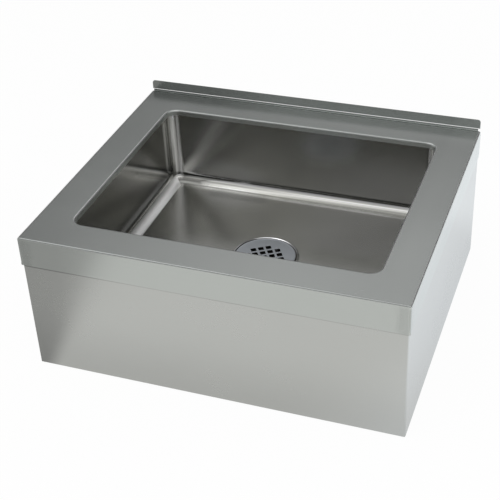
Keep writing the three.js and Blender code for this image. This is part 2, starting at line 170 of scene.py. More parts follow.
def pick_all(kind="EDGE"):
    bpy.ops.mesh.select_mode(type=kind)
    bpy.ops.mesh.select_all(action="SELECT")


def level(item, axis, value):
    """True where every vertex of an edge or face lies at that value of the axis."""
    return all(abs(v.co[axis] - value) < NEAR for v in item.verts)


def pull(x=0.0, y=0.0, z=0.0):
    """Draws the selected edges out."""
    bpy.ops.mesh.extrude_edges_move(TRANSFORM_OT_translate={"value": (x, y, z)})


def on_side(edge, half):
    """True where an edge lies in the left or the right side, that far from the middle."""
    return level(edge, 0, half) or level(edge, 0, -half)


def within(edge, half):
    """True where an edge lies no further than that, each way, from the middle of the opening."""
    return all(abs(v.co.x) < half.x + NEAR and abs(v.co.y - drain_y) < half.y + NEAR for v in edge.verts)


def slice_at(axis, value):
    """Cuts the edited mesh where the axis has that value."""
    pick_all("FACE")
    point, normal = [0, 0, 0], [0, 0, 0]
    point[axis], normal[axis] = value, 1
    bpy.ops.mesh.bisect(plane_co=point, plane_no=normal)


def join(*pieces):
    """Joins pieces to the first of them."""
    bare()
    for piece in pieces:
        piece.select_set(True)
    bpy.context.view_layer.objects.active = pieces[0]
    bpy.ops.object.join()
    return pieces[0]


def weigh_folds(weights):
    """Marks the edited mesh's fold edges with a share of the fold radius; weights are (test, share)."""
    mesh = bmesh.from_edit_mesh(bpy.context.object.data)
    layer = mesh.edges.layers.float.get("bevel_weight_edge") or mesh.edges.layers.float.new("bevel_weight_edge")
    for edge in mesh.edges:
        for test, share in weights:
            if test(edge):
                edge[layer] = share
    bmesh.update_edit_mesh(bpy.context.object.data)


def modify(piece, kind, **settings):
    """Adds a modifier and applies it."""
    bare()
    piece.select_set(True)
    bpy.context.view_layer.objects.active = piece
    modifier = piece.modifiers.new(kind.lower(), kind)
    for key, value in settings.items():
        setattr(modifier, key, value)
    bpy.ops.object.modifier_apply(modifier=modifier.name)


def fold(piece, radius, segments=6):
    """Rounds the marked edges to their share of the radius."""
    modify(piece, "BEVEL", limit_method="WEIGHT", width=radius, segments=segments, use_clamp_overlap=False)


def thicken(piece, thickness):
    """Gives a sheet its thickness, on the side away from its normals."""
    modify(piece, "SOLIDIFY", thickness=thickness, offset=-1, use_even_offset=True, use_rim=True)


def even_shading(piece, keep_sharp=False):
    """Lets flat faces stay flat in the shading."""
    modify(piece, "WEIGHTED_NORMAL", mode="FACE_AREA_WITH_ANGLE", weight=80, keep_sharp=keep_sharp)


def soften(piece, radius, angle=50, segments=2):
    """Rounds the sharp edges and lets flat faces stay flat in the shading."""
    modify(
        piece, "BEVEL", limit_method="ANGLE", angle_limit=math.radians(angle), width=radius, segments=segments,
        use_clamp_overlap=True, harden_normals=False,
    )
    bpy.ops.object.shade_smooth()
    even_shading(piece)


def turned(name, profile, segments):
    """A ring turned round the drain's axis: a circle, drawn out along (radius, z) and back to where it began."""
    bare()
    radius, z = profile[0]
    bpy.ops.mesh.primitive_circle_add(vertices=segments, radius=radius, location=(0, drain_y, z))
    piece = settle(bpy.context.object, name)
    start_edit(piece)
    pick_all()
    for next_radius, next_z in profile[1:] + profile[:1]:
        pull(z=next_z - z)
        share = next_radius / radius
        bpy.ops.transform.resize(value=(share, share, 1), center_override=(0, drain_y, next_z))
        radius, z = next_radius, next_z
    pick_all("VERT")
    bpy.ops.mesh.remove_doubles(threshold=NEAR / 10)
    bpy.ops.mesh.normals_make_consistent(inside=False)
    return end_edit()


# ---------------------------------------------------------------- shader maths


class Wire:
    """A socket's value that takes part in sums."""

    def __init__(self, shader, socket):
        self.shader = shader
        self.socket = socket

    def _with(self, operation, first, second):
        return self.shader.node("Math", {"operation": operation}, {0: first, 1: second})

    def __add__(self, other):
        return self._with("ADD", self, other)

    __radd__ = __add__

    def __sub__(self, other):
        return self._with("SUBTRACT", self, other)

    def __rsub__(self, other):
        return self._with("SUBTRACT", other, self)

    def __mul__(self, other):
        return self._with("MULTIPLY", self, other)

    __rmul__ = __mul__

    def __pow__(self, other):
        return self._with("POWER", self, other)

    def __neg__(self):
        return self * -1.0

    def __abs__(self):
        return self._with("ABSOLUTE", self, 0.0)


class Shader:
    """A node tree that is written as expressions."""

    def __init__(self, tree):
        self.tree = tree
        tree.nodes.clear()

    def node(self, kind, settings=None, inputs=None, output=0):
        """Adds a node, sets it up, feeds its sockets and gives back one output."""
        made = self.tree.nodes.new("ShaderNode" + kind)
        for key, value in (settings or {}).items():
            if key == "stops":
                self._set_stops(made.color_ramp, value)
            else:
                setattr(made, key, value)
        for key, value in (inputs or {}).items():
            if isinstance(value, Wire):
                self.tree.links.new(value.socket, made.inputs[key])
            else:
                made.inputs[key].default_value = value
        return Wire(self, made.outputs[output]) if made.outputs else made

    @staticmethod
    def _set_stops(ramp, stops):
        while len(ramp.elements) > 1:
            ramp.elements.remove(ramp.elements[0])
        ramp.elements[0].position, ramp.elements[0].color = stops[0]
        for position, colour in stops[1:]:
            ramp.elements.new(position).color = colour

    def spread(self, value, low, high, to_low=0.0, to_high=1.0):
        """Maps a range smoothly onto another, held at both ends."""
        return self.node(
            "MapRange",
            {"interpolation_type": "SMOOTHSTEP"},
            {"Value": value, "From Min": low, "From Max": high, "To Min": to_low, "To Max": to_high},
        )

    def mix(self, factor, first, second):
        """Mixes two colours."""
        return self.node("Mix", {"data_type": "RGBA"}, {0: factor, 6: first, 7: second}, output=2)

    def choose(self, factor, first, second):
        """Mixes two values."""
        return self.node("Mix", {"data_type": "FLOAT"}, {0: factor, 2: first, 3: second})

    def larger(self, first, second):
        return self.node("Math", {"operation": "MAXIMUM"}, {0: first, 1: second})

    def smaller(self, first, second):
        return self.node("Math", {"operation": "MINIMUM"}, {0: first, 1: second})

    def turn(self, across, along):
        """How far a normal has turned from one axis to another: 0 on the second, 1 on the first."""
        return self.node("Math", {"operation": "ARCTAN2"}, {0: across, 1: along}) * (2 / math.pi)

    def shaped(self, value, stops):
        """A factor that follows (place, factor) stops."""
        halves = [(place, (factor / 2, factor / 2, factor / 2, 1)) for place, factor in stops]
        return self.node("ValToRGB", {"stops": halves}, {"Fac": value}) * 2.0

    def parts(self, vector):
        """A vector's three values."""
        made = self.node("SeparateXYZ", None, {0: vector})
        outputs = made.socket.node.outputs
        return [Wire(self, outputs[i]) for i in range(3)]


def material(name):
    """A new material, with the shader that writes its nodes."""
    made = bpy.data.materials.new(name)
    made.use_nodes = True
    return made, Shader(made.node_tree)


def grey(value):
    return (value, value, value, 1)


# ---------------------------------------------------------------- finishes


def stretched_noise(s, place, scale, detail=2.0, roughness=0.55, distortion=0.0):
    """Noise whose cells are as long and as wide as the scale along each axis says."""
    mapped = s.node("Mapping", {"vector_type": "POINT"}, {"Vector": place, "Scale": scale})
    return s.node(
        "TexNoise", {"noise_dimensions": "3D"},
        {"Vector": mapped, "Scale": 1.0, "Detail": detail, "Roughness": roughness, "Distortion": distortion},
    )


def grain_along(s, place, axis, fine=900.0, long=7.0):
    """Brush lines that run along one axis, fine across it."""
    scale = [fine, fine, fine]
    scale[axis] = long
    return stretched_noise(s, place, scale, detail=3.0, roughness=0.7)


brightest = 0.95
flat_from, flat_full = 0.955, 0.998


def brushed_steel(
    name, colour, roughness, grain_axes=(0, 0, 0), grain_depth=0.02, grain_colour=0.05, grain_rough=0.06,
    wave=0.0, blotch=0.05, fold_roughness=None, wear_and_painted_light=None,
):
    """Brushed stainless sheet, or another metal.

    grain_axes says along which axis the lines run on faces that look along X, Y and Z. grain_depth and wave are
    in millimetres. The last argument changes tone, roughness and metal by place and by how a face looks; its tone
    changes hold wear and painted highlights and shade.
    """
    made, s = material(name)
    place = s.node("TexCoord", output=3)
    facing = s.node("TexCoord", output=1)
    fx, fy, fz = [abs(part) for part in s.parts(facing)]
    lines = {axis: grain_along(s, place, axis) for axis in set(grain_axes)}
    if len(lines) == 1:
        grain = lines[grain_axes[0]]
    else:
        on_x = s.spread(fx, 0.6, 0.8)
        on_y = s.spread(fy, 0.6, 0.8)
        grain = lines[grain_axes[0]] * on_x + lines[grain_axes[1]] * on_y * (1.0 - on_x) \
            + lines[grain_axes[2]] * (1.0 - on_y) * (1.0 - on_x)
    cloud = stretched_noise(s, place, (7.0, 7.0, 9.0), detail=3.0, roughness=0.6, distortion=0.4)
    rubbed = stretched_noise(s, place, (31.0, 24.0, 28.0), detail=4.0, roughness=0.65)
    tone = 1.0 + (grain - 0.5) * grain_colour + (cloud - 0.5) * blotch + (rubbed - 0.5) * (0.5 * blotch)
    if fold_roughness is not None:
        flat = s.spread(s.larger(s.larger(fx, fy), fz), flat_from, flat_full)
        roughness = fold_roughness + flat * (roughness - fold_roughness)
    rough = roughness + (grain - 0.5) * grain_rough + (cloud - 0.5) * 0.10 + (rubbed - 0.5) * 0.05
    metal = 1.0
    if wear_and_painted_light:
        tone, rough, metal = wear_and_painted_light(s, place, facing, tone, rough)
    # Where painted highlights make the steel brightest, it loses its tint
    painted_highlight_share = s.spread(tone, 1.05, 1.5)
    tints = [c + painted_highlight_share * (max(colour) - c) for c in colour]
    shade = s.node("CombineColor", None, {i: s.smaller(tone * tints[i], brightest) for i in range(3)})
    bump = s.node("Bump", None, {"Strength": 1.0, "Distance": grain_depth * MM, "Height": grain})
    if wave:
        swell = stretched_noise(s, place, (3.1, 3.7, 4.3), detail=1.0, roughness=0.4)
        bump = s.node("Bump", None, {"Strength": 1.0, "Distance": wave * MM, "Height": swell, "Normal": bump})
    surface = s.node(
        "BsdfPrincipled", None, {"Base Color": shade, "Metallic": metal, "Roughness": rough, "Normal": bump},
    )
    s.node("OutputMaterial", None, {"Surface": surface})
    return made


def rubber(name, colour, roughness=0.6):
    """Matt rubber, or another dull stuff, with a little dust on it."""
    made, s = material(name)
    place = s.node("TexCoord", output=3)
    dust = stretched_noise(s, place, (60.0, 60.0, 60.0), detail=4.0)
    pebble = stretched_noise(s, place, (1400.0, 1400.0, 1400.0), detail=2.0)
    shade = s.mix(s.spread(dust, 0.45, 0.8), (*colour, 1), (*[c + 0.05 for c in colour], 1))
    bump = s.node("Bump", None, {"Strength": 0.5, "Distance": 0.05 * MM, "Height": pebble})
    surface = s.node(
        "BsdfPrincipled", None,
        {"Base Color": shade, "Metallic": 0.0, "Roughness": roughness + (dust - 0.5) * 0.2, "Normal": bump},
    )
    s.node("OutputMaterial", None, {"Surface": surface})
    return made


# Painted highlight and shade across a fold of the deck, by how far its face has turned from level (0) to upright (1):
# (turn, brightness)
front_fold_lines = ((0.02, 1.0), (0.12, 0.58), (0.55, 0.62), (0.8, 1.15), (0.98, 1.0))
side_fold_lines = ((0.05, 1.0), (0.2, 1.9), (0.45, 1.6), (0.7, 1.0), (0.98, 1.0))

# The ground weld at each front corner of the flange: how far in from the edges its marks begin, and where they are
# full. Next to the edge the metal is rubbed bright.
weld_from_x, weld_full_x = 26 * MM, 12 * MM
weld_from_y, weld_full_y = 26 * MM, 8 * MM
weld_full_z = 9 * MM
weld_ragged = 22 * MM
bright_from, bright_full = 6 * MM, 4 * MM


def deck_welds_and_painted_light(s, place, facing, tone, rough):
    """Ground welds at the flange's corners; painted highlight and shade on the folds; painted shade on the upturn and
    at the rear left corner, painted light at the right side; a rougher mouth.

    The masks go by place, in metres, and by how a face looks.
    """
    x, y, z = s.parts(place)
    fx, fy, fz = s.parts(facing)

    # Ground welds
    ragged = stretched_noise(s, place, (60.0, 60.0, 30.0), detail=3.0)
    marks = stretched_noise(s, place, (330.0, 330.0, 28.0), detail=3.0)
    reach = abs(x) + (ragged - 0.5) * weld_ragged
    patch = s.spread(reach, deck_high.x - weld_from_x, deck_high.x - weld_full_x) \
        * s.spread(y, deck_low.y + weld_from_y, deck_low.y + weld_full_y) \
        * s.spread(z, deck_top_z, deck_top_z - weld_full_z)
    rubbed_bright = s.spread(marks, 0.42, 0.62) \
        * s.spread(abs(x), deck_high.x - bright_from, deck_high.x - bright_full)
    tone = tone * (1.0 - patch * (0.11 + (marks - 0.5) * 0.18 - rubbed_bright * 0.16))

    # Folds: painted highlight and shade
    front_fold = s.shaped(s.turn(abs(fy), abs(fz)), front_fold_lines)
    side_fold = s.shaped(s.turn(abs(fx), abs(fz)), side_fold_lines)
    to_front = s.spread(-fy, 0.0, 0.05)
    to_side = s.spread(abs(fx), 0.0, 0.05)
    tone = tone * (1.0 + to_front * (front_fold - 1.0)) * (1.0 + to_side * (side_fold - 1.0))

    # Upturn in painted shade, the fold round the mouth rougher, and the top with painted shade at the rear left corner
    # and painted light at the right side
    upturn = s.spread(z, deck_top_z + 1 * MM, deck_top_z + 3 * MM)
    mouth = s.spread(z, deck_top_z - 1 * MM, deck_top_z - 3 * MM) \
        * s.spread(abs(x), opening_half.x + 20 * MM, opening_half.x + 10 * MM) \
        * s.spread(abs(y - drain_y), opening_half.y + 20 * MM, opening_half.y + 10 * MM)
    corner_shade = s.spread(x, -0.02, -0.25) * s.spread(y, 0.215, 0.25)
    bright_side = s.spread(x, 0.262, 0.28) * s.spread(y, -0.26, -0.12)
    tone = tone * (1.0 - upturn * 0.17 - corner_shade * 0.19 + bright_side * 0.04)
    return tone, rough + patch * (0.03 + (marks - 0.5) * 0.08) + mouth * 0.14, 1.0


# Painted shade under the flange's edge: how far below it the band begins, and where it is full
lap_from, lap_full = 4.2 * MM, 1.6 * MM


def lap_shade(s, place, facing, tone, rough):
    """Painted shade: a thin dark line where the skirt goes up behind the flange's edge, deepest at the left."""
    x, _, z = s.parts(place)
    flange_foot_z = deck_top_z - flange_drop
    uneven = stretched_noise(s, place, (14.0, 14.0, 5.0))
    line = s.spread(z, flange_foot_z - lap_from, flange_foot_z - lap_full)
    depth = 0.17 + s.spread(x, -0.10, -0.30) * 0.33 + (uneven - 0.5) * 0.2
    return tone * (1.0 - line * depth), rough, 1.0


# Painted highlight and shade lines of the bowl's bends, laid on as polish lines, by how far a face has turned: (turn,
# brightness). The coves turn from the wall (0) to the floor (1), and the standing corners from the long wall (0) to the
# end wall (1).
long_cove_lines_left = (
    (0.0, 1.0), (0.06, 1.4), (0.13, 0.6), (0.19, 1.5), (0.25, 2.07), (0.31, 1.05), (0.375, 1.35), (0.44, 0.8),
    (0.5, 0.67), (0.625, 0.62), (0.69, 0.98), (0.75, 1.46), (0.81, 1.6), (0.875, 1.0), (0.93, 1.05), (0.97, 1.2),
    (0.985, 1.0),
)
long_cove_lines_right = (
    (0.0, 1.0), (0.04, 0.85), (0.06, 0.6), (0.125, 0.5), (0.19, 0.87), (0.25, 1.95), (0.31, 1.67), (0.375, 1.7),
    (0.44, 0.85), (0.5, 1.55), (0.5625, 1.07), (0.625, 0.6), (0.69, 0.68), (0.75, 0.83), (0.81, 1.03), (0.93, 0.88),
    (0.97, 0.65), (0.985, 1.0),
)
end_cove_lines = (
    (0.0, 0.92), (0.03, 0.5), (0.06, 0.6), (0.19, 0.8), (0.31, 0.68), (0.44, 1.5), (0.56, 1.9), (0.62, 2.07),
    (1.0, 2.07),
)
standing_corner_lines = (
    (0.0, 1.0), (0.03, 0.8), (0.07, 0.75), (0.125, 0.58), (0.165, 1.5), (0.2, 2.07), (0.25, 2.07), (0.31, 1.5),
    (0.375, 1.9), (0.44, 1.95), (0.5, 1.75), (0.5625, 1.6), (0.625, 1.7), (0.69, 2.07), (0.75, 1.5), (0.81, 0.88),
    (0.875, 0.6), (0.94, 1.05), (1.0, 1.0),
)
# How bright the bowl's floor is across the stripe of painted shade that slants over its rear left part
corner_stripe = (
    (0.0, 0.98), (0.08, 0.84), (0.18, 0.64), (0.27, 0.64), (0.38, 0.86), (0.5, 0.98), (0.7, 0.9), (1.0, 1.0),
)
stripe_from, stripe_to = -0.2075, -0.0075
most_haze = 0.95


def bowl_polish_and_painted_light(s, place, facing, tone, rough):
    """Painted highlight and shade lines along the coves, drawn as polish lines, which were blended by hand at the ends,
    and painted shade and painted light on walls and floor.

    The masks go by place, in metres, and by how a face looks.
    """
    x, y, z = s.parts(place)
    fx, fy, fz = [abs(part) for part in s.parts(facing)]
    lying = s.turn(fz, (fx * fx + fy * fy) ** 0.5)
    standing = s.turn(fx, fy)
    upright = s.spread(fz, 0.5, 0.1)

    # Which end or side of the bowl this is, and whether the face looks to the front or the rear
    from_end = opening_half.x + bowl_gap - abs(x)
    from_side = opening_half.y + bowl_gap - abs(y - drain_y)
    at_end = s.spread(from_side - from_end, -3 * MM, 3 * MM)
    at_side = 1.0 - at_end
    at_rear = s.spread(y, 0.15, 0.18)
    rear_wall = at_side * upright * at_rear
    left_wall = at_end * upright * s.spread(x, 0.0, -0.1)
    looks_front_or_rear = s.spread(fy, 0.7, 0.9)

    # Polish lines, with painted highlight and shade
    curved = s.spread(lying, 0.0, 0.1) * s.spread(lying, 1.0, 0.9)
    streaks = stretched_noise(s, facing, (5.0, 5.0, 5.0), detail=3.0, roughness=0.75)
    long_left = s.shaped(lying, long_cove_lines_left)
    long_right = s.shaped(lying, long_cove_lines_right)
    long_cove = long_left + s.spread(x, -0.16, 0.06) * (long_right - long_left)
    blended = s.spread(from_end, cove + 4 * MM, cove + 1.5 * MM)
    end_cove = 1.0 + blended * (s.shaped(lying, end_cove_lines) - 1.0)
    standing_corner = s.shaped(standing, standing_corner_lines)
    tone = tone * (long_cove + at_end * (end_cove - long_cove)) * (1.0 + upright * (standing_corner - 1.0))
    tone = tone * (1.0 + curved * (streaks - 0.5) * 0.4)

    # Floor: painted shade in a stripe at the rear left and along the rear cove, painted light at the right but for the
    # front, and a painted highlight near the rear cove's foot
    across_stripe = s.spread(x + y * 0.5, stripe_from, stripe_to)
    stripe = (1.0 - s.shaped(across_stripe, corner_stripe)) * s.spread(y, -0.05, 0.05)
    along_rear = s.spread(y, 0.152, 0.165) * s.spread(x, -0.18, -0.15) * s.spread(x, -0.04, -0.07)
    right_half = s.spread(x, -0.04, 0.02)
    far_right = s.spread(x, -0.02, 0.12) * s.spread(y, 0.0, 0.07, -0.7, 1.0)
    painted_floor_shading = s.spread(fz, 0.9, 0.999) * (stripe - right_half * 0.14 - far_right * 0.25 + along_rear * 0.22)
    floor_edge_highlight = s.spread(from_side, cove + 8 * MM, cove + 5.5 * MM) * s.spread(from_side, cove + 2.5 * MM, cove + 4 * MM) \
        * s.spread(x, -0.15, 0.0) * s.spread(fz, 0.96, 0.99) * s.spread(y, 0.0, 0.05)

    # Walls: patches of painted light and painted shade, a band of painted shade that slants up the rear wall, and
    # painted shade where the rear cove's highlight begins
    bright_foot = s.spread(x, 0.0, -0.17) * s.spread(z, 0.17, 0.128) * looks_front_or_rear
    bright_left = rear_wall * s.spread(x, -0.08, -0.16)
    bright_top = left_wall * s.spread(z, 0.17, 0.2) * s.spread(y, 0.06, 0.11)
    shade_right = rear_wall * s.spread(x, -0.12, 0.12)
    slant = abs(x + 0.232 - (z - 0.128) * 0.865)
    slant_shade = s.spread(slant, 0.028, 0.006) * looks_front_or_rear * at_rear
    foot_shade = left_wall * s.spread(z, 0.158, 0.130)
    fading = at_side * s.spread(x, -0.12, -0.18) * s.spread(lying, 0.5, 0.6) * s.spread(lying, 1.0, 0.9)
    tone = tone * (1.0 - painted_floor_shading) \
        * (1.0 + floor_edge_highlight * 0.5 + bright_foot * 0.65 + bright_left * 0.16 + bright_top * 0.25) \
        * (1.0 - shade_right * 0.27 - left_wall * 0.14 - slant_shade * 0.4 - foot_shade * 0.55 - fading * 0.2)

    # Bends that were blended with a pad are hazy and catch the light from every side
    rough = rough + curved * at_end * s.spread(lying, 0.25, 0.45) * 0.36 - at_end * s.spread(lying, 0.04, 0.0) * 0.09
    end_haze = at_end * blended * s.spread(lying, 0.5, 0.85) * s.spread(y, 0.0, 0.15, 0.5, 0.95)
    corner_haze = at_side * s.spread(x, -0.165, -0.205) * s.spread(lying, 0.4, 0.55) * s.spread(lying, 1.0, 0.88)
    thin_line = upright * s.spread(standing, 0.13, 0.17) * s.spread(standing, 0.29, 0.25)
    broad_line = upright * s.spread(standing, 0.44, 0.5) * s.spread(standing, 0.62, 0.57)
    haze = end_haze + corner_haze * 0.85 + thin_line * 0.3 + broad_line * 0.15
    return tone, rough, 1.0 - haze * most_haze


deck_steel = brushed_steel(
    "deck brushed steel", (0.60, 0.625, 0.61), 0.24, grain_axes=(1, 0, 0), grain_depth=0.006, wave=1.5,
    fold_roughness=0.34, wear_and_painted_light=deck_welds_and_painted_light,
)
skirt_steel = brushed_steel(
    "skirt brushed steel", (0.622, 0.632, 0.62), 0.26, grain_axes=(1, 0, 0), grain_depth=0.002, grain_rough=0.015,
    grain_colour=0.03, wave=2.0, wear_and_painted_light=lap_shade,
)
bowl_steel = brushed_steel(
    "bowl satin steel", (0.46, 0.46, 0.437), 0.22, grain_axes=(1, 0, 0), grain_depth=0.008, wave=1.5,
    fold_roughness=0.07, wear_and_painted_light=bowl_polish_and_painted_light,
)
# Dark cast metal, made near-black as painted shade for the inside of the drain
dark_bore_in_shade = rubber("dark bore in painted shade", (0.016, 0.013, 0.010), 0.7)
mill_steel = brushed_steel(
    "mill finished steel", (0.5, 0.51, 0.51), 0.42, grain_axes=(2, 2, 1), grain_depth=0.006, blotch=0.12,
)
plated_steel = brushed_steel(
    "plated drain", (0.88, 0.885, 0.90), 0.12, grain_depth=0.002, grain_colour=0.02, grain_rough=0.03, blotch=0.02,
)
strainer_steel = brushed_steel(
    "strainer matt steel", (0.56, 0.59, 0.63), 0.38, grain_depth=0.004, grain_colour=0.04, blotch=0.04,
)
nut_brass = brushed_steel(
    "cast brass", (0.62, 0.46, 0.22), 0.4, grain_axes=(2, 2, 0), grain_depth=0.01, blotch=0.15,
)
black_rubber = rubber("black rubber", (0.02, 0.02, 0.02))
pad_mastic = rubber("grey mastic", (0.10, 0.10, 0.105), 0.75)
pressed_fibre = rubber("pressed fibre", (0.30, 0.17, 0.08), 0.8)


def finish(piece, made):
    """Gives a piece its one material."""
    piece.data.materials.clear()
    piece.data.materials.append(made)
    return piece


# ---------------------------------------------------------------- deck


def deck_sheet():
    """The deck's upper side, folded at front and sides, with its upturn and the lip round the opening."""
    half = deck_high.x
    front = deck_low.y
    waist = half - upturn_inset - relief
    sheet = plate("deck_sheet", -half, half, front, upturn_foot, deck_top_z)
    mouth = plate(
        "mouth", -opening_half.x, opening_half.x, drain_y - opening_half.y, drain_y + opening_half.y, deck_top_z,
    )
    start_edit(mouth)
    pick_all("VERT")
    bpy.ops.mesh.bevel(offset=opening_corner, segments=12, affect="VERTICES")
    end_edit()
    sheet = join(sheet, mouth)
    start_edit(sheet)
    pick_all("FACE")
    bpy.ops.mesh.delete(type="ONLY_FACE")
    pick_all()
    bpy.ops.mesh.fill(use_beauty=True)
    pick_all("FACE")
    bpy.ops.mesh.inset(thickness=flat_margin, depth=0, use_boundary=True, use_even_offset=True)
    slice_at(0, -waist)
    slice_at(0, waist)

    # Flanges, in two steps because the side ones are cut back at the rear above the relief
    pick("EDGE", lambda e: e.is_boundary and (level(e, 1, front) or on_side(e, half)))
    pull(z=-relief_drop)
    pull(z=relief_drop + hem_curl_height - flange_drop)
    pull(z=-hem_curl_height)
    share_x, share_y = (half - hem_curl) / half, (front + hem_curl) / front
    bpy.ops.transform.resize(value=(share_x, share_y, 1), center_override=(0, 0, deck_top_z - flange_drop))
    relief_z = deck_top_z - relief_drop
    pick("EDGE", lambda e: e.is_boundary and level(e, 1, upturn_foot)
         and max(v.co.z for v in e.verts) < relief_z + NEAR)
    pull(y=deck_high.y - upturn_foot)

    # Upturn
    pick("EDGE", lambda e: e.is_boundary and level(e, 1, upturn_foot) and level(e, 2, deck_top_z)
         and max(abs(v.co.x) for v in e.verts) < waist + NEAR)
    bpy.ops.mesh.spin(steps=6, angle=math.pi / 2, center=(0, upturn_foot, deck_top_z + upturn_fold), axis=(1, 0, 0))
    pull(z=relief)
    end_edit()
    face_y = upturn_foot + upturn_fold
    foot_z = deck_top_z + upturn_fold + relief
    face = upright_plate("upturn_face", -waist - relief, waist + relief, face_y, foot_z, deck_high.z)
    start_edit(face)
    pick("VERT", lambda v: v.co.z > foot_z + NEAR)
    bpy.ops.mesh.bevel(offset=upturn_corner, segments=6, affect="VERTICES")
    slice_at(0, -waist)
    slice_at(0, waist)
    end_edit()
    sheet = join(sheet, face)
    start_edit(sheet)
    pick_all("VERT")
    bpy.ops.mesh.remove_doubles(threshold=NEAR)

    # Lip
    pick("EDGE", lambda e: e.is_boundary and within(e, opening_half) and level(e, 2, deck_top_z))
    pull(z=-lip_drop)

    def top_fold(edge):
        lowered = [any(v.co.z < deck_top_z - NEAR for v in face.verts) for face in edge.link_faces]
        return level(edge, 2, deck_top_z) and len(lowered) == 2 and lowered[0] != lowered[1]

    def corner_fold(edge):
        return level(edge, 1, front) and on_side(edge, half)

    weigh_folds([(top_fold, 1.0), (corner_fold, deck_corner / deck_fold)])
    end_edit()
    fold(sheet, deck_fold)
    thicken(sheet, deck_thickness)
    soften(sheet, deck_edge)
    return finish(sheet, deck_steel)


# ---------------------------------------------------------------- bowl

bowl_crease = math.radians(40)


def bowl_shell():
    """The bowl's inner side, from the rim under the deck down to the hole for the drain."""
    half = opening_half + Vector((bowl_gap, bowl_gap))

    # Walls, standing corners and coves
    shell = block(
        "bowl_shell", (-half.x, drain_y - half.y, floor_edge), (half.x, drain_y + half.y, bowl_top),
    )
    start_edit(shell)
    pick("FACE", lambda f: level(f, 2, bowl_top))
    bpy.ops.mesh.delete(type="FACE")
    pick("EDGE", lambda e: abs(e.verts[0].co.z - e.verts[1].co.z) > cove)
    bpy.ops.mesh.bevel(offset=opening_corner + bowl_gap, segments=12, affect="EDGES")
    for share in (-0.5, 0, 0.5):
        slice_at(0, share * half.x)
        slice_at(1, drain_y + share * half.y)
    pick("EDGE", lambda e: level(e, 2, floor_edge) and any(abs(f.normal.z) < 0.5 for f in e.link_faces))
    bpy.ops.mesh.bevel(offset=cove, segments=10, affect="EDGES")
    pick("FACE", lambda f: level(f, 2, floor_edge))
    bpy.ops.mesh.delete(type="FACE")

    # Floor, pitched from the coves to the seat
    pick("EDGE", lambda e: e.is_boundary and level(e, 2, floor_edge))
    rim_count = sum(e.select for e in bmesh.from_edit_mesh(shell.data).edges)
    bpy.ops.mesh.primitive_circle_add(
        vertices=rim_count, radius=seat_radius + seat_step, location=(0, drain_y, floor_middle),
    )
    pick("EDGE", lambda e: len(e.link_faces) < 2 and max(v.co.z for v in e.verts) < floor_edge + NEAR)
    bpy.ops.mesh.bridge_edge_loops(number_cuts=8)

    # Seat, dished, down to the drain's hole
    pick("EDGE", lambda e: e.is_boundary and level(e, 2, floor_middle))
    radius = seat_radius + seat_step
    for next_radius, drop in ((seat_radius, seat_drop), (drain_hole, 0)):
        pull(z=-drop)
        share = next_radius / radius
        bpy.ops.transform.resize(value=(share, share, 1), center_override=(0, drain_y, 0))
        radius = next_radius

    # Rim under the deck
    pick("EDGE", lambda e: e.is_boundary and level(e, 2, bowl_top))
    pull()
    rim = half + Vector((rim_width, rim_width))
    bpy.ops.transform.resize(value=(rim.x / half.x, rim.y / half.y, 1), center_override=(0, drain_y, bowl_top))
    pick_all("FACE")
    bpy.ops.mesh.normals_make_consistent(inside=False)

    weigh_folds([(lambda e: level(e, 2, bowl_top) and within(e, half) and not e.is_boundary, 1.0)])
    faces = bmesh.from_edit_mesh(shell.data).faces
    wall = next(f for f in faces if abs(f.normal.x) > 0.9 and f.calc_center_median().x > 0)
    if wall.normal.x > 0:
        bpy.ops.mesh.flip_normals()
    end_edit()
    fold(shell, rim_fold, 4)
    thicken(shell, bowl_thickness)
    bpy.ops.object.shade_smooth_by_angle(angle=bowl_crease)
    even_shading(shell, keep_sharp=True)
    return finish(shell, bowl_steel)


# ---------------------------------------------------------------- skirt


def skirt_sheet():
    """The wrapped skirt: hem on the floor, then front, left and right."""
    half = skirt_high.x
    front = skirt_low.y
    rear = skirt_high.y
    inner = half - hem_width
    sheet = plate("skirt_sheet", -half, half, front, rear, 0)
    start_edit(sheet)
    slice_at(0, -inner)
    slice_at(0, inner)
    slice_at(1, front + hem_width)
    pick("FACE", lambda f: abs(f.calc_center_median().x) < inner and f.calc_center_median().y > front + hem_width)
    bpy.ops.mesh.delete(type="FACE")
    pick_all("FACE")
    bpy.ops.mesh.flip_normals()
    pick("EDGE", lambda e: e.is_boundary and (level(e, 1, front) or on_side(e, half)))
    pull(z=skirt_high.z)

    def hem_fold(edge):
        return level(edge, 2, 0) and (level(edge, 1, front) or on_side(edge, half))

    def corner_fold(edge):
        return level(edge, 1, front) and on_side(edge, half)

    weigh_folds([(hem_fold, skirt_fold / skirt_corner), (corner_fold, 1.0)])
    end_edit()
    fold(sheet, skirt_corner)
    thicken(sheet, skirt_thickness)
    soften(sheet, skirt_edge)
    return finish(sheet, skirt_steel)


# ---------------------------------------------------------------- drain


def arc(centre_r, centre_z, radius, start, end, steps):
    """Points of an arc in (radius, z); angles in degrees."""
    turns = [math.radians(start + (end - start) * i / steps) for i in range(steps + 1)]
    return [(centre_r + radius * math.cos(a), centre_z + radius * math.sin(a)) for a in turns]


crest_from, crest_to = 0.35, 0.6


def thread(radius, top, bottom, pitch, depth):
    """Roots and crests of a thread, from top to bottom; each crest takes that share of the pitch."""
    count = int((top - bottom) / pitch)
    points = []
    for i in range(count):
        z = top - i * pitch
        points += [(radius - depth, z), (radius, z - crest_from * pitch), (radius, z - crest_to * pitch)]
    return points


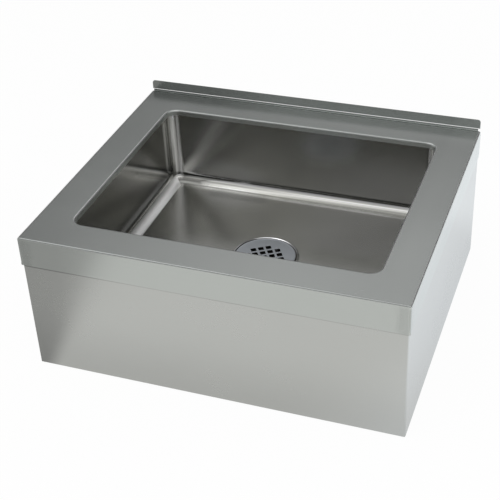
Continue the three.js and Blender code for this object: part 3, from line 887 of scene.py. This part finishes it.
flange_foot = drain_low.z + 68 * MM
flange_radius = drain_high.x
ledge_z = flange_foot + 1.5 * MM
rim_inner = flange_radius - 1.9 * MM
rim_skirt = 0.7 * MM
barrel_radius = 44.45 * MM
barrel_bore = 40.45 * MM
barrel_foot = flange_foot - 31 * MM
barrel_pitch, barrel_depth = 2 * MM, 0.8 * MM
bore_round = 1 * MM
outlet_radius = 30.15 * MM
outlet_bore = 25.95 * MM
outlet_top = barrel_foot - 9 * MM
outlet_end = drain_low.z
outlet_pitch, outlet_depth = 2.2 * MM, 0.9 * MM
drain_crease = math.radians(32)


def drain_flange():
    """The drain in one turned piece: outlet, threaded barrel, flange with its raised rim, and the bore."""
    rim_top = drain_high.z
    profile = [
        (outlet_bore, outlet_end),
        (outlet_radius - 1 * MM, outlet_end),
        *reversed(thread(outlet_radius, outlet_top - 6 * MM, outlet_end + 0.4 * MM, outlet_pitch, outlet_depth)),
        (outlet_radius - outlet_depth, outlet_top - 5 * MM),
        (outlet_radius, outlet_top - 4 * MM),
        (outlet_radius, outlet_top),
        (barrel_radius - 1.5 * MM, barrel_foot - 1 * MM),
        (barrel_radius - 1 * MM, barrel_foot),
        *reversed(thread(barrel_radius, flange_foot - 4 * MM, barrel_foot + 0.5 * MM, barrel_pitch, barrel_depth)),
        (barrel_radius - barrel_depth, flange_foot - 3 * MM),
        (barrel_radius - barrel_depth, flange_foot),
        (rim_inner, flange_foot),
        (rim_inner, flange_foot - rim_skirt),
        (flange_radius, flange_foot - rim_skirt),
        (flange_radius, rim_top - 0.35 * MM),
        (flange_radius - 0.12 * MM, rim_top - 0.1 * MM),
        (flange_radius - 0.35 * MM, rim_top),
        (rim_inner + 0.3 * MM, rim_top - 0.5 * MM),
        (rim_inner + 0.08 * MM, rim_top - 0.65 * MM),
        (rim_inner, rim_top - 0.9 * MM),
        (rim_inner, ledge_z + 0.5 * MM),
        (rim_inner - 0.3 * MM, ledge_z),
        (barrel_bore + bore_round, ledge_z),
        *arc(barrel_bore + bore_round, ledge_z - bore_round, bore_round, 90, 180, 3)[1:],
        (barrel_bore, barrel_foot),
        (outlet_bore, outlet_top),
    ]
    flange = turned("drain_flange", profile, 128)
    bpy.ops.object.shade_smooth_by_angle(angle=drain_crease)
    finish(flange, plated_steel)

    # The ledge under the strainer and the bore are dark cast metal, near-black as painted shade
    flange.data.materials.append(dark_bore_in_shade)
    for face in flange.data.polygons:
        out = face.center - drain_axis
        out.z = 0
        below_rim = face.center.z < rim_top - 0.7 * MM and out.length < rim_inner + 0.4 * MM
        faces_bore = face.normal.dot(out.normalized()) < -0.5
        if below_rim and (faces_bore or face.normal.z > 0.5):
            face.material_index = 1
    return flange


hole_pitch = 13.5 * MM
hole_side = 9.5 * MM
hole_corner = 0.8 * MM
hole_turn = math.radians(32)
hole_shift = -3 * MM
hole_reach = 2
edge_width = 0.8 * MM
edge_slope = 1.5 * MM
edge_height = 0.6 * MM
hole_edge = 0.18 * MM


def strainer():
    """A flat disc with a turned field of square holes, its four corner holes left out."""
    bare()
    bpy.ops.mesh.primitive_cylinder_add(
        vertices=128, radius=plate_high.x, depth=plate_high.z - plate_low.z,
        location=(0, drain_y, (plate_high.z + plate_low.z) / 2),
    )
    disc = settle(bpy.context.object, "strainer")
    start_edit(disc)
    pick("FACE", lambda f: level(f, 2, plate_high.z))
    bpy.ops.mesh.inset(thickness=edge_width, depth=0)
    bpy.ops.mesh.inset(thickness=edge_slope, depth=-edge_height)
    end_edit()
    punches = []
    rows = range(-hole_reach, hole_reach + 1)
    for row in rows:
        for column in rows:
            if abs(row) == abs(column) == hole_reach:
                continue
            bare()
            along = Vector((row * hole_pitch, column * hole_pitch, 0))
            along.rotate(Matrix.Rotation(hole_turn, 3, "Z"))
            middle = drain_axis + along + Vector((0, hole_shift, plate_high.z))
            bpy.ops.mesh.primitive_cube_add(size=hole_side, location=middle)
            bpy.context.object.rotation_euler.z = hole_turn
            punches.append(settle(bpy.context.object, "punch"))
    punch = join(*punches)
    start_edit(punch)
    pick("EDGE", lambda e: abs(e.verts[0].co.z - e.verts[1].co.z) > hole_side / 2)
    bpy.ops.mesh.bevel(offset=hole_corner, segments=3, affect="EDGES")
    end_edit()
    modify(disc, "BOOLEAN", operation="DIFFERENCE", object=punch, solver="EXACT")
    bpy.data.objects.remove(punch)
    soften(disc, hole_edge)
    return finish(disc, strainer_steel)


# ---------------------------------------------------------------- assembly

deck = deck_sheet()
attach(deck, "sink")
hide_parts("deck_top")

bowl = bowl_shell()
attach(bowl, "sink")
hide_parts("bowl")

skirt = skirt_sheet()
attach(skirt, "sink")
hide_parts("skirt")

flange = drain_flange()
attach(flange, "sink")
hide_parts("drain_body")

grid = strainer()
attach(grid, "strainer")
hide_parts("strainer_plate")

carried_over = {
    "back_panel": mill_steel,
    "corner_post_front_left": mill_steel,
    "corner_post_front_right": mill_steel,
    "corner_post_rear_left": mill_steel,
    "corner_post_rear_right": mill_steel,
    "bowl_support_left": mill_steel,
    "bowl_support_right": mill_steel,
    "sound_pad_left": pad_mastic,
    "sound_pad_right": pad_mastic,
    "flange_seal": black_rubber,
    "under_washer": black_rubber,
    "friction_ring": pressed_fibre,
    "drain_locknut": nut_brass,
    "strainer_leg_1": mill_steel,
    "strainer_leg_2": mill_steel,
    "strainer_leg_3": mill_steel,
    "strainer_leg_4": mill_steel,
}
for node, made in carried_over.items():
    finish(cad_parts[node], made)

# ---------------------------------------------------------------- camera

camera_place = Vector((0.57473, -1.54918, 1.24147))
camera_right = Vector((0.941042, 0.335686, -0.041890))
camera_down = Vector((0.156751, -0.542419, -0.825355))
camera_ahead = Vector((-0.299782, 0.770127, -0.563058))
focal_pixels = 1146.7
frame_pixels = 500
sensor_width = 36.0

camera_data = bpy.data.cameras.new("camera")
camera = bpy.data.objects.new("camera", camera_data)
bpy.context.scene.collection.objects.link(camera)
turn = Matrix((camera_right, -camera_down, -camera_ahead)).transposed()
camera.matrix_world = Matrix.Translation(camera_place) @ turn.to_4x4()
camera_data.sensor_width = sensor_width
camera_data.lens = focal_pixels / frame_pixels * sensor_width
camera_data.clip_start = 0.05
camera_data.clip_end = 50
bpy.context.scene.camera = camera

# ---------------------------------------------------------------- studio


def light_path(s):
    """Camera ray, glossy ray, and background ray: one that camera, metal or glass sends."""
    outputs = s.node("LightPath").socket.node.outputs
    camera_ray, glossy, through = [
        Wire(s, outputs[f"Is {kind} Ray"]) for kind in ("Camera", "Glossy", "Transmission")
    ]
    return camera_ray, glossy, s.smaller(camera_ray + glossy + through, 1.0)


def glow(s, kind, level, tint=(1, 1, 1)):
    """A light of that level: Emission for a surface, Background for the world."""
    shade = s.node("CombineColor", None, {i: level * tint[i] for i in range(3)})
    return s.node(kind, None, {"Color": shade, "Strength": 1.0})


floor_reach = 1.8
floor_level = -0.5 * MM
floor_grey = 0.85
floor_shine = 0.96


def floor():
    """A pale floor: white to the camera, darker in front and at the left to the metal, and dark under the sink."""
    ground = plate("floor", -floor_reach, floor_reach, -floor_reach, floor_reach, floor_level)
    made, s = material("pale floor")
    place = s.node("TexCoord", output=3)
    x, y, _ = s.parts(place)
    _, glossy, background = light_path(s)
    lit = s.node("BsdfDiffuse", None, {"Color": grey(floor_grey)})
    right = s.spread(x + y * 0.6, -0.1, 0.4)
    clear_of_card = s.spread(x - y * 0.23, -0.25, -0.212)
    off = s.larger(abs(x) - deck_high.x, abs(y) - deck_high.y)

    # To the metal it is darkest at the left, as if a dark card lay there, and a little darker close to the sink, a
    # painted contact shadow
    seen = (0.375 + clear_of_card * (0.345 + right * 0.32)) * s.spread(off, 0.0, 0.16, 0.82, 1.0)
    in_the_open = s.spread(off, -20 * MM, -5 * MM)
    level = s.choose(glossy, 1.0, seen)

    # The metal sees it cooler at the right and warmer at the left
    cool = glossy * right
    warm = glossy * (1.0 - right)
    tint = (1.0 - cool * 0.05, 1.0 - cool * 0.02, 1.0 + cool * 0.01 - warm * 0.03)
    shine = glow(s, "Emission", level, tint)
    surface = s.node("MixShader", None, {0: background * in_the_open * floor_shine, 1: lit, 2: shine})
    s.node("OutputMaterial", None, {"Surface": surface})
    made.cycles.emission_sampling = "NONE"
    finish(ground, made)


floor()


def softbox(name, place, target, width, height, radiance):
    """A soft lamp, its power worked out from how bright its face is. The metal sees the room lights instead."""
    data = bpy.data.lights.new(name, "AREA")
    data.shape = "RECTANGLE"
    data.size, data.size_y = width, height
    data.energy = radiance * width * height * math.pi
    lamp = bpy.data.objects.new(name, data)
    bpy.context.scene.collection.objects.link(lamp)
    lamp.location = place
    lamp.rotation_euler = (Vector(target) - Vector(place)).to_track_quat("-Z", "Y").to_euler()
    lamp.visible_glossy = False


softbox("ceiling softbox", (-0.3, -1.2, 3.0), (0, 0, 0.2), 2.6, 2.0, 2.4)
softbox("side window", (3.0, 0.6, 1.6), (0, 0, 0.2), 2.2, 1.8, 1.4)

air_level = 0.6

# How bright the room itself is to the metal: above the horizon, low down in front, and low down elsewhere
sky_level, front_level, rear_level = 0.05, 0.33, 0.45

# What hangs in the room, as the metal sees it: where it is, how wide it is, and how bright it is. The width is the
# cosine of the angle at which its soft edge ends; within the core it is full.
broad, narrow, core = 0.80, 0.90, 0.9875
room_lights = (
    ((-0.2, 0.0, 0.98), narrow, 0.9),
    ((-0.55, -0.1, 0.83), narrow, 1.1),
    ((-0.25, -0.45, 0.86), narrow, 0.9),
    ((0.3, -0.5, 0.81), narrow, 0.75),
    ((0.55, -0.15, 0.82), narrow, 0.5),
    ((0.78, -0.28, 0.56), narrow, 0.55),
    ((0.95, 0.1, 0.3), broad, 0.4),
    ((-0.95, 0.0, 0.3), broad, 0.6),
    ((0.4, 0.72, 0.57), narrow, 0.12),
    ((-0.1, 0.68, 0.73), narrow, 0.38),
    ((-0.25, 0.45, 0.86), broad, 0.13),
    ((-0.5, 0.7, 0.5), narrow, 0.12),
    ((-0.3, -0.88, 0.36), broad, 0.11),
    ((-0.12, -0.76, 0.64), narrow, 0.27),
    ((0.45, -0.7, 0.55), narrow, 0.34),
    ((0.65, -0.7, 0.3), narrow, 0.06),
)


def studio_air():
    """White to the camera. The metal sees a grey room with soft lights overhead and at the sides."""
    world = bpy.data.worlds.new("studio")
    bpy.context.scene.world = world
    world.use_nodes = True
    s = Shader(world.node_tree)
    direction = s.node("TexCoord", output=0)
    _, y, z = s.parts(direction)
    camera_ray, glossy, background = light_path(s)
    to_front = s.spread(y, 0.2, -0.3)
    room = s.spread(z, -0.1, 0.1) * sky_level + s.spread(z, 0.40, 0.05) * to_front * front_level \
        + s.spread(z, 0.10, -0.02) * (1.0 - to_front) * rear_level
    for towards, edge, level in room_lights:
        middle = tuple(Vector(towards).normalized())
        nearness = s.node("VectorMath", {"operation": "DOT_PRODUCT"}, {0: direction, 1: middle}, output=1)
        room = room + s.spread(nearness, edge, core) * level
    level = s.choose(glossy, air_level, room)
    white = s.larger(camera_ray, background - glossy)
    light = glow(s, "Background", s.choose(white, level, 1.0))
    s.node("OutputWorld", None, {"Surface": light})
    world.cycles.sampling_method = "NONE"


studio_air()

scene = bpy.context.scene
scene.view_settings.view_transform = "Standard"
